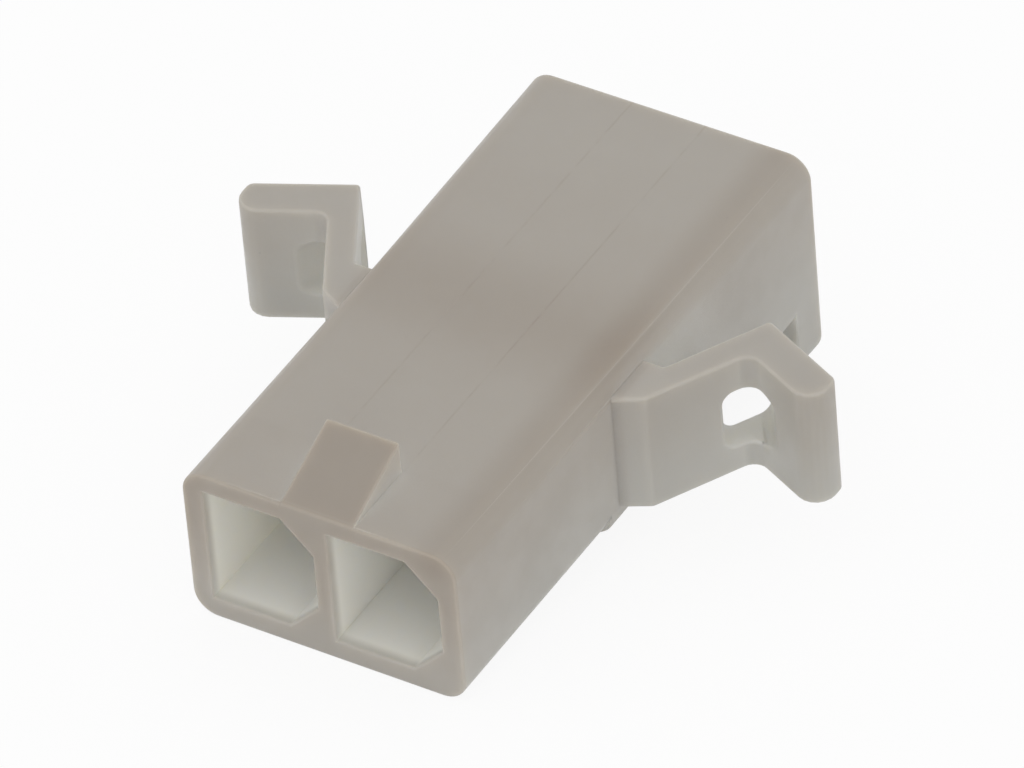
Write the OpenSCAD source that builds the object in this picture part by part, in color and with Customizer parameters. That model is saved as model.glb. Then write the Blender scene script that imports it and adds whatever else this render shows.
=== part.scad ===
// Two-way plug housing with spring panel ears, moulded in one piece.
// +Y runs from the mating face to the wire side, +Z is up.
// The origin is the centre of the mating face.

/* [Contacts] */
// Number of contact ways
ways = 2; // [2:1:4]
// Distance between neighbouring contacts
pitch = 4.5; // [4.2:0.1:6]
// Diameter of the contact bore on the wire side
bore_d = 3.8; // [3:0.1:3.9]
// Length of the contact bore
bore_l = 8; // [6:0.5:9]
// Diameter of the throat that the contact's nose passes
throat_d = 2.7; // [2:0.1:2.9]
// Depth of the lead-in at the bore's mouth
lead_in = 0.25; // [0.1:0.05:0.4]

/* [Body] */
// Length from the mating face to the wire side
body_l = 21.6; // [20.5:0.1:26]
// Width of one hood cavity
cavity_w = 3.9; // [3.4:0.1:3.95]
// Height of the hood cavities
cavity_h = 4.35; // [4.2:0.05:5.5]
// Depth of the hood cavities
cavity_l = 10; // [8:0.5:11]
// Chamfer on the keyed side of each cavity
key_chamfer = 1.1; // [0.6:0.1:1.6]
// Side wall of the hood
side_wall = 0.75; // [0.6:0.05:1.2]
// Roof over the hood cavities
roof_t = 0.7; // [0.6:0.05:1.2]
// Floor under the hood cavities
floor_t = 0.75; // [0.6:0.05:1.2]
// Radius of the four long edges
edge_r = 0.85; // [0.4:0.05:1]
// Widening of each side towards the wire end
flare = 0.2; // [0.05:0.05:0.4]
// Distance from the mating face to a small step in the underside
step_y = 8.9; // [8:0.1:9]
// Height of that step
step_h = 0.28; // [0.1:0.02:0.4]

/* [Locking ramp] */
// Width of the ramp
ramp_w = 2.65; // [2:0.05:4]
// Length of the ramp
ramp_l = 3; // [2:0.1:5]
// Height of the ramp's locking face
ramp_h = 1.2; // [0.6:0.1:1.8]

/* [Stop foot] */
// Depth of the foot below the body
foot_h = 2.3; // [1:0.1:2.6]
// Thickness of the foot
foot_t = 1.4; // [1:0.1:2.5]

/* [Ears] */
// Height of each ear
ear_h = 4.5; // [3:0.1:4.9]
// How far the tip of each ear stands out from the body's side
ear_out = 5.8; // [5.2:0.05:6.5]
// Distance from the mating face to the front of the ear's neck
neck_y = 9.4; // [9:0.1:11]
// Width of the neck along the body
neck_w = 2.1; // [1.8:0.1:2.4]
// How far the neck stands out before the arm turns back
neck_out = 0.95; // [0.6:0.05:1.2]
// How far the neck's front face runs back on its way out
neck_rise = 0.5; // [0.3:0.05:0.8]
// Angle of the arm from square to the body
arm_angle = 61; // [52:1:66]
// Length of the arm's front face
arm_l = 3.8; // [3:0.05:4.2]
// Thickness of the arm
arm_t = 1; // [0.8:0.05:1.3]
// Angle of the wing, back towards the mating face
wing_angle = 25; // [15:0.5:35]
// Thickness of the wing, which ends in a nose rounded to half of it
wing_t = 1.4; // [1:0.05:1.6]
// Radius in the bend between arm and wing
bend_r = 0.5; // [0.2:0.05:0.7]
// Radius of the ear's other corners
ear_r = 0.3; // [0.1:0.05:0.35]
// Width of the window through the bend
window_w = 1.6; // [1:0.05:1.7]
// Height of the window
window_h = 2.2; // [1.4:0.1:3]
// Corner radius of the window
window_r = 0.4; // [0.2:0.05:0.5]
// Angle of the window from the body's length
window_angle = 34; // [25:1:50]
// How far the middle of the window lies from the bend, towards the body
window_in = 0.2; // [0.1:0.02:0.5]
// Height of the window's middle over the bores' level
window_z = -0.15; // [-0.4:0.05:0.4]

/* [Hidden] */
$fn = 48;
natural_nylon = [0.86, 0.84, 0.80];
cut = 0.5;                                        // how far a cutter runs past a face
slab = 0.01;                                      // thickness of a lofting section
edge_steps = 10;                                  // chords in each long edge's rounding
ear_steps = 6;                                    // chords in each rounded corner of the ears

body_w = (ways - 1) * pitch + cavity_w + 2 * side_wall;
body_h = floor_t + cavity_h + roof_t;
top_z = body_h / 2;
bottom_z = -top_z;
cavity_z = bottom_z + floor_t;                    // floor of the hood cavities
bore_y = body_l - bore_l;                         // shoulder between throat and bore
foot_y = body_l - foot_t;
foot_z = bottom_z - foot_h;
step_z = bottom_z - step_h;                       // underside behind the step
flare_y = neck_y + neck_w;                        // the sides are straight up to here

function way_x(i) = (i - (ways - 1) / 2) * pitch;
function polar(r, a) = [r * cos(a), r * sin(a)];
function unit(v) = v / norm(v);

// Width of the body at a distance y from the mating face
function width_at(y) = body_w + 2 * flare * max(0, y - flare_y) / (body_l - flare_y);

// Points of a corner p between its neighbours a and b, rounded to radius r in a number of steps
function corner(a, p, b, r, steps) =
    let (u = unit(a - p), v = unit(b - p), half = acos(u * v) / 2,
         centre = p + unit(u + v) * r / sin(half),
         start = p + u * r / tan(half) - centre,
         from = atan2(start[1], start[0]),
         turn = (u[0] * v[1] - u[1] * v[0] > 0 ? -1 : 1) * (180 - 2 * half))
    r == 0 ? [p] : [for (k = [0:steps]) centre + polar(r, from + turn * k / steps)];

// Outline through the points, each [x, y, radius], with its corners rounded
function rounded(pts, steps) =
    let (n = len(pts), at = [for (q = pts) [q[0], q[1]]])
    [for (i = [0:n - 1])
        each corner(at[(i + n - 1) % n], at[i], at[(i + 1) % n], pts[i][2], steps)];

// Rectangle of width w about x = 0, from z_low to z_high, with rounded corners
module rounded_rect(w, z_low, z_high, r, steps) {
    polygon(rounded([[-w / 2, z_low, r], [w / 2, z_low, r],
                     [w / 2, z_high, r], [-w / 2, z_high, r]], steps));
}

// Extrudes an outline drawn in X and Z along +Y, from y, over length l
module along_y(y, l) {
    translate([0, y + l, 0]) rotate([90, 0, 0]) linear_extrude(l) children();
}

// Outer section of the body at y, from z_low to the top
module section(y, z_low) {
    rounded_rect(width_at(y), z_low, top_z, edge_r, edge_steps);
}

// Widening stretch of the body from y_from to y_to, with its lower side at z_low
module loft(y_from, y_to, z_low) {
    hull() {
        along_y(y_from, slab) section(y_from, z_low);
        along_y(y_to - slab, slab) section(y_to, z_low);
    }
}

// D-shaped opening of one way: two corners are cut off on its keyed side
module key_outline() {
    translate([0, cavity_z])
        polygon([[-cavity_w / 2, 0], [cavity_w / 2 - key_chamfer, 0],
                 [cavity_w / 2, key_chamfer], [cavity_w / 2, cavity_h - key_chamfer],
                 [cavity_w / 2 - key_chamfer, cavity_h], [-cavity_w / 2, cavity_h]]);
}

module body_solid() {
    along_y(0, step_y) section(0, bottom_z);
    along_y(step_y, flare_y - step_y) section(0, step_z);
    loft(flare_y, foot_y, step_z);
    loft(foot_y, body_l, foot_z);
}

module contact_way() {
    along_y(-cut, cavity_l + cut) key_outline();
    along_y(cavity_l - cut, bore_y - cavity_l + 2 * cut) circle(d = throat_d);
    along_y(bore_y, bore_l + cut) circle(d = bore_d);
    translate([0, body_l - lead_in, 0]) rotate([-90, 0, 0])
        cylinder(h = 2 * lead_in, d1 = bore_d, d2 = bore_d + 4 * lead_in);
}

// Wedge that the mating latch rides over and hooks behind
module locking_ramp() {
    translate([-ramp_w / 2, 0, 0]) rotate([90, 0, 90]) linear_extrude(ramp_w)
        polygon([[0, top_z - roof_t / 2], [0, top_z], [ramp_l, top_z + ramp_h],
                 [ramp_l, top_z - roof_t / 2]]);
}

// Plan of one ear: neck, arm swept back, bend, wing turned forward
side_x = body_w / 2;
root_x = side_x - side_wall / 2;
tip_x = side_x + ear_out;
arm_dir = polar(1, arm_angle);
wing_dir = polar(1, -wing_angle);
shoulder = [side_x + neck_out, neck_y + neck_rise];
bend = shoulder + arm_l * arm_dir;
arm_back = shoulder + polar(arm_t, arm_angle + 90);
wing_back = bend + polar(wing_t, 90 - wing_angle);

// Point at which the line through p with direction d crosses the line through q with direction e
function crossing(p, d, q, e) =
    p + d * ((q[0] - p[0]) * e[1] - (q[1] - p[1]) * e[0]) / (d[0] * e[1] - d[1] * e[0]);

nose = crossing(bend, wing_dir, [tip_x, 0], [0, 1]);
wing_end = crossing(wing_back, wing_dir, [tip_x, 0], [0, 1]);
apex = crossing(wing_back, wing_dir, arm_back, arm_dir);
neck_back = crossing(arm_back, arm_dir, [0, neck_y + neck_w], [1, 0]);

module ear_plan() {
    polygon(rounded([
        [root_x, neck_y, 0],
        [side_x, neck_y, 0],
        [shoulder[0], shoulder[1], ear_r],
        [bend[0], bend[1], bend_r],
        [nose[0], nose[1], wing_t / 2],
        [wing_end[0], wing_end[1], ear_r],
        [apex[0], apex[1], ear_r / 2],
        [neck_back[0], neck_back[1], ear_r / 2],
        [root_x, neck_y + neck_w, 0]], ear_steps));
}

module ear() {
    difference() {
        linear_extrude(ear_h, center = true) ear_plan();
        translate([bend[0], bend[1], 0]) rotate([90, 0, window_angle])
            translate([-window_in, 0, 0]) linear_extrude(2 * arm_l, center = true)
                rounded_rect(window_w, window_z - window_h / 2, window_z + window_h / 2,
                             window_r, ear_steps);
    }
}

module housing() {
    color(natural_nylon)
    difference() {
        union() {
            body_solid();
            locking_ramp();
            ear();
            mirror([1, 0, 0]) ear();
        }
        for (i = [0:ways - 1]) translate([way_x(i), 0, 0]) contact_way();
    }
}

housing();
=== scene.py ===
import bpy
import bmesh
import math
from mathutils import Matrix, Vector


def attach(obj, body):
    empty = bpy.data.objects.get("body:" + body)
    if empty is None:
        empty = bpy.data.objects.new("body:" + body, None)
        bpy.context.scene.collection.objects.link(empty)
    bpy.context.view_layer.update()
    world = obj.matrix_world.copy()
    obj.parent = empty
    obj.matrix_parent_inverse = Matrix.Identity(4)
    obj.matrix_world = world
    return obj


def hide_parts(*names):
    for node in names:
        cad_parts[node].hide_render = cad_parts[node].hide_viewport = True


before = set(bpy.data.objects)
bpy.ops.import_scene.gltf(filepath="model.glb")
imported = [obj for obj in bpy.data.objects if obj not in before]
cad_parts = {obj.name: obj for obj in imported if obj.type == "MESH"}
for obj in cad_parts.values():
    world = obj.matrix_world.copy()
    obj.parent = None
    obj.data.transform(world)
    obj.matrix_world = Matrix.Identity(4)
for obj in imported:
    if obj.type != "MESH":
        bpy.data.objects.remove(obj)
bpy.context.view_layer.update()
scene = bpy.context.scene
print("frame loaded")

mm = 0.001


def addObject(name, mesh):
    piece = bpy.data.objects.new(name, mesh)
    scene.collection.objects.link(piece)
    return piece


def addNode(tree, kind, label="", **settings):
    node = tree.nodes.new(kind)
    node.label = label
    for key, value in settings.items():
        setattr(node, key, value)
    return node


def mathNode(tree, operation, *values, clamp=False):
    node = addNode(tree, "ShaderNodeMath", operation=operation, use_clamp=clamp)
    for socket, value in zip(node.inputs, values):
        if hasattr(value, "links"):
            tree.links.new(value, socket)
        else:
            socket.default_value = value
    return node.outputs[0]


def softStep(tree, value, start, end, low=0.0, high=1.0):
    node = addNode(tree, "ShaderNodeMapRange", interpolation_type="SMOOTHSTEP")
    tree.links.new(value, node.inputs["Value"])
    ends = {"From Min": start, "From Max": end, "To Min": low, "To Max": high}
    for name, number in ends.items():
        node.inputs[name].default_value = number
    return node.outputs[0]


def band(tree, value, middle, reach):
    away = mathNode(tree, "ABSOLUTE", mathNode(tree, "SUBTRACT", value, middle))
    return softStep(tree, away, 0.0, reach, 1.0, 0.0)


def joined(tree, operation, first, *others):
    for value in others:
        first = mathNode(tree, operation, first, value)
    return first


# Nylon of the moulding: milky and satin, painted deeper and warmer where it is thick, standing
# in for the light that passes through it
nylon = {
    "thin": (0.50, 0.49, 0.455),
    "middle": (0.425, 0.39, 0.345),
    "thick": (0.335, 0.285, 0.235),
    "roughness": (0.36, 0.5),
    "satin": (0.9, 3),                    # noise: size in millimetres and detail
    "satinRange": (0.3, 0.7),
    "ior": 1.53,
    "scatter": 0.75,
    "scatterReach": (0.8 * mm, 0.75 * mm, 0.65 * mm),
    "scatterLean": 0.2,
    "grain": (0.12, 2),
    "grainStrength": 0.05,
    "grainHeight": 0.02 * mm,
    "cloud": (2.6, 2),
    "cloudDepth": 0.1,
}

# Places on the part in millimetres, each fading in from the first value to the second
places = {
    "top": (2.3, 2.8),                    # heights
    "nearTop": (1.5, 2.5),
    "ramp": (2.88, 2.98),
    "hoodHeight": (2.45, 2.3),
    "body": (5.3, 5.1),                   # distances from the middle
    "ear": (5.15, 5.6),
    "hoodSide": (4.45, 4.3),
    "rim": (0.14, 0.06),                  # distances from the mating face
    "hoodMouth": (0.1, 0.5),
    "hoodEnd": (10.4, 9.9),
    "rampEnd": (3.3, 3.0),
    "lineStart": (3.0, 4.5),
    "rear": (14.5, 19),
}

# Painted light and shade: how much deeper the tone gets at each place, standing in for the
# light that passes through the plastic; negative values paint it paler
paintedLightAndShade = {
    "start": 0.33,
    # Painted light and shade: paler towards the bottom and deeper towards the top, as light
    # coming up from below would make it
    "height": (-2.6, 1.6, -0.2, 0.14),    # from and to, depth at each
    # Painted shade: deeper over the thick middle of the body
    "solid": (10.9, 3.8, 0.22),           # middle, reach, depth
    # Painted shade: a deeper band along the right edge of the top
    "rightEdgePaintedShade": (4.2, 1.2, 0.24),
    "rightFade": (-0.5, 5, 0.8, 1.0),
    # Painted shade: a faint deeper band along the left edge of the top
    "leftEdge": (-4.4, 0.6, 0.06),
    # Painted shade: the thin front rim kept deeper than its scattering makes it
    "rim": 0.22,
    # Painted shade: the thick raised ramp deeper
    "ramp": 0.34,
    # Painted light: the ears paler than their shade would make them
    "ears": -0.1,
    "rear": -0.06,
}

# Painted light: hollows are painted paler than open faces, standing in for the light that
# reaches them through the thin walls round them
hollowPaintedLight = {
    "colour": (0.93, 0.93, 0.89),
    "reach": 4 * mm,
    "amount": 1.05,
    "samples": 5,
    "hoodPaintedLight": (0.89, 0.88, 0.83),
    "from": 0.92,                         # openness below which a place counts as hollow
}

# Two fine lines that the mould leaves along the top
lines = {
    "offset": 1.35,
    "width": 0.06,
    "depth": 0.17,
    "step": 0.008 * mm,
    "break": (0.8, 2),
    "breakRange": (0.35, 0.6),
}

# A few tiny dark specks in the plastic
specks = {
    "spacing": 2.3,
    "radius": 0.05,
    "tone": 0.35,
}


def nylonMaterial():
    material = bpy.data.materials.new("naturalNylon")
    material.use_nodes = True
    tree = material.node_tree
    links = tree.links
    shader = tree.nodes["Principled BSDF"]
    shader.inputs["IOR"].default_value = nylon["ior"]
    shader.inputs["Subsurface Weight"].default_value = nylon["scatter"]
    shader.inputs["Subsurface Radius"].default_value = nylon["scatterReach"]
    shader.inputs["Subsurface Scale"].default_value = 1.0
    shader.inputs["Subsurface Anisotropy"].default_value = nylon["scatterLean"]

    place = addNode(tree, "ShaderNodeTexCoord")
    inMm = addNode(tree, "ShaderNodeVectorMath", "metres to millimetres", operation="SCALE")
    inMm.inputs["Scale"].default_value = 1 / mm
    links.new(place.outputs["Object"], inMm.inputs[0])
    split = addNode(tree, "ShaderNodeSeparateXYZ")
    links.new(inMm.outputs["Vector"], split.inputs[0])
    x, y, z = split.outputs
    across = mathNode(tree, "ABSOLUTE", x)
    fromMiddle = mathNode(tree, "ABSOLUTE", z)

    def noise(label, size, detail):
        node = addNode(tree, "ShaderNodeTexNoise", label)
        node.inputs["Scale"].default_value = 1 / size
        node.inputs["Detail"].default_value = detail
        links.new(inMm.outputs["Vector"], node.inputs["Vector"])
        return node.outputs["Fac"]

    def at(name, value):
        return softStep(tree, value, *places[name])

    def product(*values):
        return joined(tree, "MULTIPLY", *values)

    def mixColour(factor, first, second, blend="MIX"):
        node = addNode(tree, "ShaderNodeMix", data_type="RGBA", blend_type=blend)
        links.new(factor, node.inputs[0])
        links.new(first, node.inputs[6])
        node.inputs[7].default_value = (*second, 1)
        return node.outputs[2]

    # Parts of the shape
    onTop = at("top", z)
    nearTop = at("nearTop", z)
    onBody = at("body", across)
    onRamp = product(at("ramp", z), at("rampEnd", y))
    inHood = product(at("hoodSide", across), at("hoodHeight", fromMiddle),
                     at("hoodMouth", y), at("hoodEnd", y))
    fromLine = mathNode(tree, "SUBTRACT", across, lines["offset"])
    onLine = product(band(tree, fromLine, 0.0, lines["width"]), onTop, at("lineStart", y))
    broken = softStep(tree, noise("broken line", *lines["break"]), *lines["breakRange"])

    # Depth of the tone: painted light and shade for the light passing through the plastic,
    # with random clouds and the mould lines
    cloud = mathNode(tree, "SUBTRACT", noise("clouds", *nylon["cloud"]), 0.5)
    solidAt, solidReach, solidPaintedShade = paintedLightAndShade["solid"]
    rightAt, rightReach, rightPaintedShade = paintedLightAndShade["rightEdgePaintedShade"]
    leftAt, leftReach, leftPaintedShade = paintedLightAndShade["leftEdge"]
    depth = joined(
        tree, "ADD",
        softStep(tree, z, *paintedLightAndShade["height"]),
        product(band(tree, y, solidAt, solidReach), onBody, solidPaintedShade),
        product(band(tree, x, rightAt, rightReach), nearTop,
                softStep(tree, y, *paintedLightAndShade["rightFade"]), rightPaintedShade),
        product(band(tree, x, leftAt, leftReach), nearTop, leftPaintedShade),
        product(at("rear", y), onBody, paintedLightAndShade["rear"]),
        product(cloud, nylon["cloudDepth"]),
        paintedLightAndShade["start"],
        product(onRamp, paintedLightAndShade["ramp"]),
        product(at("rim", y), paintedLightAndShade["rim"]),
        product(at("ear", across), paintedLightAndShade["ears"]),
        product(onLine, broken, lines["depth"]))
    tone = addNode(tree, "ShaderNodeValToRGB", "painted through-light, thin to thick")
    stops = tone.color_ramp.elements
    stops[0].position, stops[0].color = 0.0, (*nylon["thin"], 1)
    stops[1].position, stops[1].color = 1.0, (*nylon["thick"], 1)
    stops.new(0.5).color = (*nylon["middle"], 1)
    links.new(depth, tone.inputs["Fac"])

    # Painted light in the hollows and inside the hood, and the specks
    hollow = addNode(tree, "ShaderNodeAmbientOcclusion", "hollows",
                     samples=hollowPaintedLight["samples"], only_local=True)
    hollow.inputs["Distance"].default_value = hollowPaintedLight["reach"]
    # Painted light: places that ambient occlusion finds closed in are painted towards a pale
    # colour
    closed = mathNode(tree, "SUBTRACT", hollowPaintedLight["from"], hollow.outputs["AO"])
    paintedLightAmount = mathNode(tree, "MULTIPLY", closed, hollowPaintedLight["amount"], clamp=True)
    colour = mixColour(paintedLightAmount, tone.outputs["Color"], hollowPaintedLight["colour"])
    # Painted light: the inside of the hood is painted pale all over
    colour = mixColour(inHood, colour, hollowPaintedLight["hoodPaintedLight"])
    cells = addNode(tree, "ShaderNodeTexVoronoi", "specks", feature="F1")
    cells.inputs["Scale"].default_value = 1 / specks["spacing"]
    links.new(inMm.outputs["Vector"], cells.inputs["Vector"])
    reach = specks["radius"] / specks["spacing"]
    onSpeck = softStep(tree, cells.outputs["Distance"], reach, reach / 2)
    colour = mixColour(onSpeck, colour, (specks["tone"],) * 3, "MULTIPLY")
    links.new(colour, shader.inputs["Base Color"])

    # Satin skin with the fine grain of the mould
    satin = softStep(tree, noise("satin", *nylon["satin"]),
                     *nylon["satinRange"], *nylon["roughness"])
    links.new(satin, shader.inputs["Roughness"])
    ridge = addNode(tree, "ShaderNodeBump", "lines on top")
    ridge.inputs["Strength"].default_value = 1.0
    ridge.inputs["Distance"].default_value = lines["step"]
    raised = softStep(tree, fromLine, lines["width"] / 2, -lines["width"] / 2)
    links.new(product(raised, onTop), ridge.inputs["Height"])
    grain = addNode(tree, "ShaderNodeBump", "grain")
    grain.inputs["Strength"].default_value = nylon["grainStrength"]
    grain.inputs["Distance"].default_value = nylon["grainHeight"]
    links.new(noise("fine grain", *nylon["grain"]), grain.inputs["Height"])
    links.new(ridge.outputs["Normal"], grain.inputs["Normal"])
    links.new(grain.outputs["Normal"], shader.inputs["Normal"])
    return material


# Housing: the CAD solid with the small radii that a moulding tool leaves on its outer edges
housing = {
    "merge": 0.002 * mm,
    "stations": (11.5 * mm, 20.2 * mm, 21.6 * mm),    # joints of the lengths of the body
    "snap": 0.012 * mm,
    "flat": math.radians(0.6),
    "round": 0.1 * mm,
    "segments": 3,
    "corner": math.radians(28),
    "sharp": math.radians(35),
}


def makeHousing():
    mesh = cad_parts["housing"].data.copy()
    mesh.name = "housingMoulding"
    bm = bmesh.new()
    bm.from_mesh(mesh)
    for vert in bm.verts:
        for station in housing["stations"]:
            if abs(vert.co.y - station) < housing["snap"]:
                vert.co.y = station
    bmesh.ops.remove_doubles(bm, verts=bm.verts, dist=housing["merge"])
    bmesh.ops.dissolve_degenerate(bm, dist=housing["merge"], edges=bm.edges)
    bmesh.ops.dissolve_limit(bm, angle_limit=housing["flat"], verts=bm.verts, edges=bm.edges)
    corners = [e for e in bm.edges if e.is_convex and e.calc_face_angle(0) > housing["corner"]]
    bmesh.ops.bevel(bm, geom=corners, offset=housing["round"], offset_type="OFFSET",
                    affect="EDGES", segments=housing["segments"], profile=0.5, material=-1,
                    clamp_overlap=False)
    for face in bm.faces:
        face.smooth = True
    bm.to_mesh(mesh)
    bm.free()
    mesh.set_sharp_from_angle(angle=housing["sharp"])
    mesh.materials.clear()
    mesh.materials.append(nylonMaterial())
    piece = addObject("housingMoulding", mesh)
    weighted = piece.modifiers.new("weighted", "WEIGHTED_NORMAL")
    weighted.keep_sharp = True
    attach(piece, "root")
    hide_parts("housing")
    return piece


moulding = makeHousing()
print("housing made:", len(moulding.data.polygons), "faces")

# Pale floor: the part leans on its front lower edge and the edge of its stop foot
paleFloor = {
    "frontEdge": (0, -2.9 * mm),          # distance from the mating face and height
    "footEdge": (20.2 * mm, -5.2 * mm),
    "size": 3.0,
    "gap": 0.02 * mm,
    "colour": (0.95, 0.95, 0.95),
    "roughness": 0.9,
    "gloss": 0.1,
    "white": 0.9,                         # share of plain white that is seen
}


def floorMaterial():
    material = bpy.data.materials.new("paleFloor")
    material.use_nodes = True
    tree = material.node_tree
    links = tree.links
    base = tree.nodes["Principled BSDF"]
    base.inputs["Base Color"].default_value = (*paleFloor["colour"], 1)
    base.inputs["Roughness"].default_value = paleFloor["roughness"]
    base.inputs["Specular IOR Level"].default_value = paleFloor["gloss"]
    rays = addNode(tree, "ShaderNodeLightPath").outputs
    seen = joined(tree, "MAXIMUM", rays["Is Camera Ray"],
                  rays["Is Glossy Ray"], rays["Is Transmission Ray"])
    white = addNode(tree, "ShaderNodeEmission")
    mix = addNode(tree, "ShaderNodeMixShader")
    links.new(mathNode(tree, "MULTIPLY", seen, paleFloor["white"]), mix.inputs[0])
    links.new(base.outputs[0], mix.inputs[1])
    links.new(white.outputs[0], mix.inputs[2])
    links.new(mix.outputs[0], tree.nodes["Material Output"].inputs["Surface"])
    return material


def makeFloor():
    frontY, frontZ = paleFloor["frontEdge"]
    footY, footZ = paleFloor["footEdge"]
    lean = math.atan2(footZ - frontZ, footY - frontY)
    bm = bmesh.new()
    bmesh.ops.create_grid(bm, x_segments=1, y_segments=1, size=paleFloor["size"])
    bmesh.ops.rotate(bm, verts=bm.verts, cent=(0, 0, 0), matrix=Matrix.Rotation(lean, 3, "X"))
    bmesh.ops.translate(bm, verts=bm.verts, vec=(0, 0, frontZ - paleFloor["gap"]))
    mesh = bpy.data.meshes.new("floor")
    bm.to_mesh(mesh)
    bm.free()
    mesh.materials.append(floorMaterial())
    floor = addObject("floor", mesh)


makeFloor()
print("floor made")


def outward(turn, height):
    turn, height = math.radians(turn), math.radians(height)
    return Vector((math.sin(turn) * math.cos(height),
                   -math.cos(turn) * math.cos(height),
                   math.sin(height)))


# Soft studio light
lights = {
    "ambient": 0.8,
    "aim": (0, 10 * mm, 0),
    "distance": 0.5,
    "lamps": [
        {"name": "topLamp", "turn": -40, "height": 65, "size": 0.5, "power": 0.15},
        {"name": "frontLamp", "turn": 35, "height": 22, "size": 0.4, "power": 0.35},
    ],
}


def makeLights():
    for lamp in lights["lamps"]:
        light = bpy.data.lights.new(lamp["name"], "AREA")
        light.size = lamp["size"]
        light.energy = lamp["power"]
        holder = addObject(lamp["name"], light)
        out = outward(lamp["turn"], lamp["height"])
        holder.location = out * lights["distance"] + Vector(lights["aim"])
        holder.rotation_euler = out.to_track_quat("Z", "Y").to_euler()
    world = bpy.data.worlds.new("studio")
    world.use_nodes = True
    background = world.node_tree.nodes["Background"]
    background.inputs["Color"].default_value = (1, 1, 1, 1)
    background.inputs["Strength"].default_value = lights["ambient"]
    scene.world = world


makeLights()
print("lights made")

camera = {
    "azimuth": 34.218,
    "elevation": 40.650,
    "roll": -5.130,
    "distance": 400 * mm,
    "lens": 448.15,
    "target": (0.283 * mm, 10.912 * mm, -0.09 * mm),
    "clip": (0.01, 10),
}


def makeCamera():
    data = bpy.data.cameras.new("camera")
    data.lens = camera["lens"]
    data.clip_start, data.clip_end = camera["clip"]
    view = addObject("camera", data)
    out = outward(camera["azimuth"], camera["elevation"])
    view.location = Vector(camera["target"]) + out * camera["distance"]
    roll = Matrix.Rotation(math.radians(camera["roll"]), 3, "Z")
    view.rotation_euler = (out.to_track_quat("Z", "Y").to_matrix() @ roll).to_euler()
    scene.camera = view


makeCamera()
scene.view_settings.view_transform = "Standard"
print("camera made")
